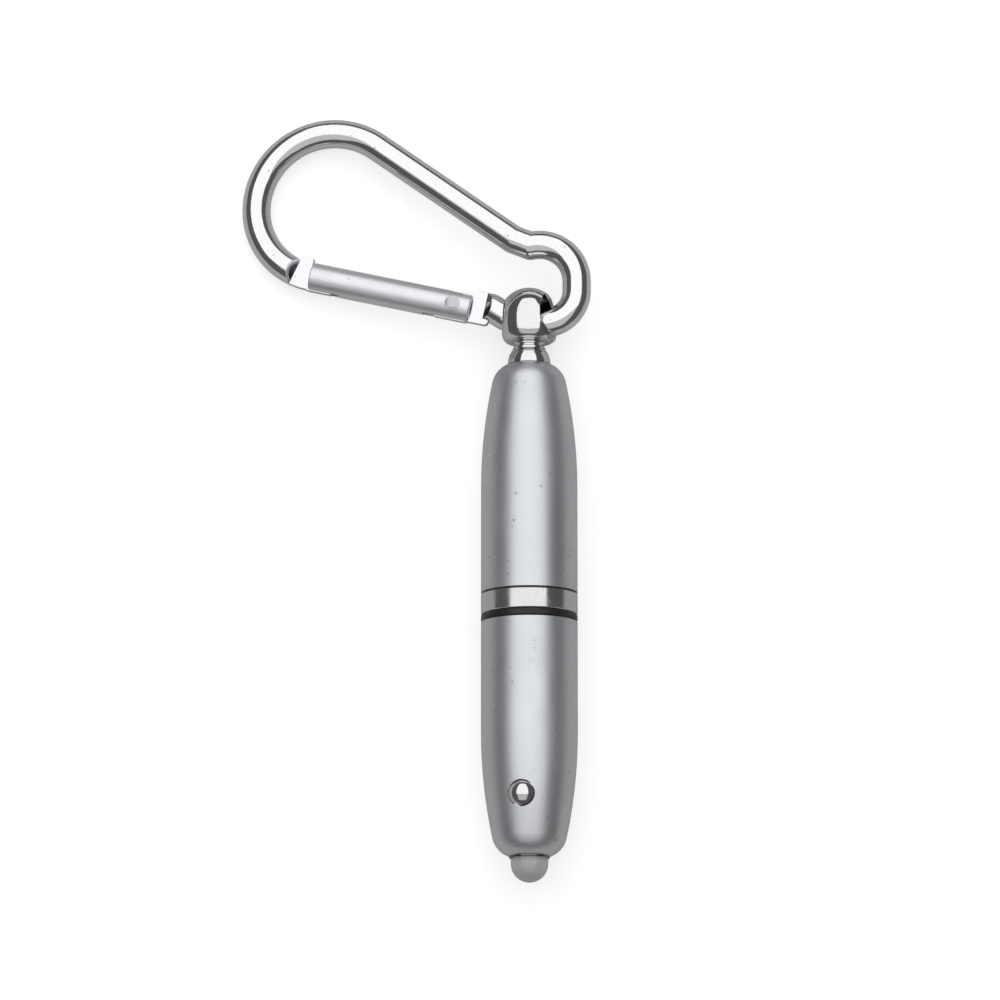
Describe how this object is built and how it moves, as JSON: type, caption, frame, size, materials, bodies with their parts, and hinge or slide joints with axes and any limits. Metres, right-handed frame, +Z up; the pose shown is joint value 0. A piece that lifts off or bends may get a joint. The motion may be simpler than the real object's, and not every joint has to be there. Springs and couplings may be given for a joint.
{
  "type": "keychain flashlight",
  "caption": "Slim metal keychain flashlight with a side push button, a front LED, a ball swivel and a wire carabiner with a sprung gate.",
  "frame": {"origin": "centre of the footprint on the table top, with the light lying down", "axes": "+Z up; +Y along the barrel towards the ball swivel; +X away from the wide end of the carabiner"},
  "size_m": [0.0474, 0.1052, 0.0132],
  "materials": {
    "barrel": "fine satin, anodised silver",
    "band": "polished with fine turning lines",
    "chrome": "polished",
    "wire_chrome": "polished plating with fine wear",
    "gate_metal": "satin",
    "rubber_black": "smooth matt",
    "brass": "plain",
    "spring_steel": "drawn wire",
    "cell_can": "nickel plated",
    "plastic_black": "moulded",
    "plastic_white": "moulded",
    "board_green": "solder mask",
    "clear_epoxy": "clear cast epoxy",
    "lead_metal": "tinned",
    "led_die": "phosphor"
  },
  "bodies": {
    "rear_barrel": {"rear_shell": "barrel", "tail_boss": "chrome", "tail_contact": "brass", "tail_spring": "spring_steel", "battery_sleeve": "plastic_white", "coupler": "band", "gasket_ring": "rubber_black", "o_ring": "rubber_black"},
    "ball_swivel": {"ball_head": "chrome", "swivel_washer": "spring_steel"},
    "carabiner": {"carabiner_frame": "wire_chrome"},
    "gate": {"gate_tube": "gate_metal", "gate_rivet": "gate_metal", "gate_spring": "spring_steel", "gate_spring_seat": "gate_metal"},
    "gate_spring_plunger": {"gate_plunger": "brass"},
    "battery_stack": {"battery_cell_1": "cell_can", "battery_cell_2": "cell_can", "battery_cell_3": "cell_can", "battery_cell_4": "cell_can"},
    "front_half": {"front_shell": "barrel", "led_lens": "clear_epoxy", "led_leads": "lead_metal", "led_chip": "led_die", "led_collar": "chrome", "led_holder": "plastic_black", "circuit_board": "board_green", "switch_body": "plastic_black", "switch_dome": "spring_steel", "resistor": "plastic_black", "module_carrier": "plastic_white", "contact_plug": "plastic_black", "contact_pin": "brass", "contact_spring": "spring_steel", "ground_ring": "brass"},
    "push_button": {"button_cap": "chrome", "switch_plunger": "plastic_white"}
  },
  "joints": [
    {"name": "head_unscrew", "type": "hinge", "parent": "battery_stack", "child": "front_half", "pos_m": [0.01537, -0.01753, 0.0065], "axis": [0, -1, 0], "range_deg": [0, 2520]},
    {"name": "cell_follow", "type": "slide", "parent": "rear_barrel", "child": "battery_stack", "axis": [0, -1, 0], "range_m": [0, 0.0053], "deforming": ["tail_spring"]},
    {"name": "button_press", "type": "slide", "parent": "front_half", "child": "push_button", "axis": [0.1908, 0, -0.9816], "range_m": [0, 0.00045], "stiffness_N_per_m": 2000, "springref_m": -0.0002, "deforming": ["switch_dome"]},
    {"name": "ball_turn", "type": "hinge", "parent": "rear_barrel", "child": "ball_swivel", "pos_m": [0.01537, 0.02431, 0.0065], "axis": [0, 1, 0], "continuous": true},
    {"name": "carabiner_swing", "type": "hinge", "parent": "ball_swivel", "child": "carabiner", "pos_m": [0.01537, 0.02431, 0.0065], "axis": [0.9397, 0, 0.342], "range_deg": [-110, 110]},
    {"name": "gate_hinge", "type": "hinge", "parent": "carabiner", "child": "gate", "pos_m": [0.00518, 0.02625, 0.00525], "axis": [0.1221, 0, -0.9925], "range_deg": [0, 35], "stiffness_Nm_per_rad": 0.02, "springref_deg": -28.65, "deforming": ["gate_spring"]},
    {"name": "gate_plunger_slide", "type": "slide", "parent": "gate", "child": "gate_spring_plunger", "axis": [-0.9671, 0.225, -0.119], "range_m": [0, 0.0008]}
  ],
  "couplings": [
    {"joint": "cell_follow", "follows": "head_unscrew", "m_per_rad": 0.00011937},
    {"joint": "gate_plunger_slide", "follows": "gate_hinge", "m_per_rad": 0.0012}
  ]
}
